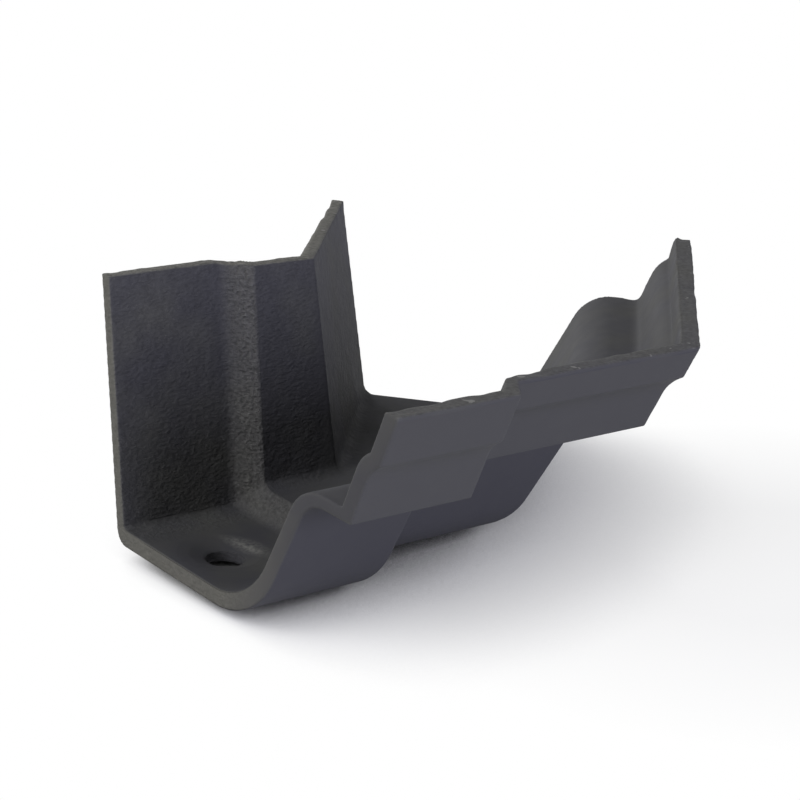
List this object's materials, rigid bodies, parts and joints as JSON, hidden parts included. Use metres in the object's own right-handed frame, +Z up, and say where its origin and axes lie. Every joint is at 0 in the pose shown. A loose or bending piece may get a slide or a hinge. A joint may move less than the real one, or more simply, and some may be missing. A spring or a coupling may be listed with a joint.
{
  "type": "gutter external angle",
  "caption": "Ogee gutter corner piece that turns a roof eave's outside corner by 45 degrees, with a bolted socket at one end and a plain spigot end.",
  "frame": {"origin": "on the bolt hole's axis, in the plane of the socket's underside, the lowest plane of the casting", "axes": "+Z up along the bolt hole, out of the gutter's open top; +X along the socket leg, from the socket's open end towards the corner; -Y towards the moulded front"},
  "size_m": [0.1946, 0.1719, 0.0755],
  "materials": {
    "painted_iron": "satin charcoal paint over a sand-cast skin"
  },
  "bodies": {
    "root": {"gutter_angle": "painted_iron"}
  },
  "joints": []
}
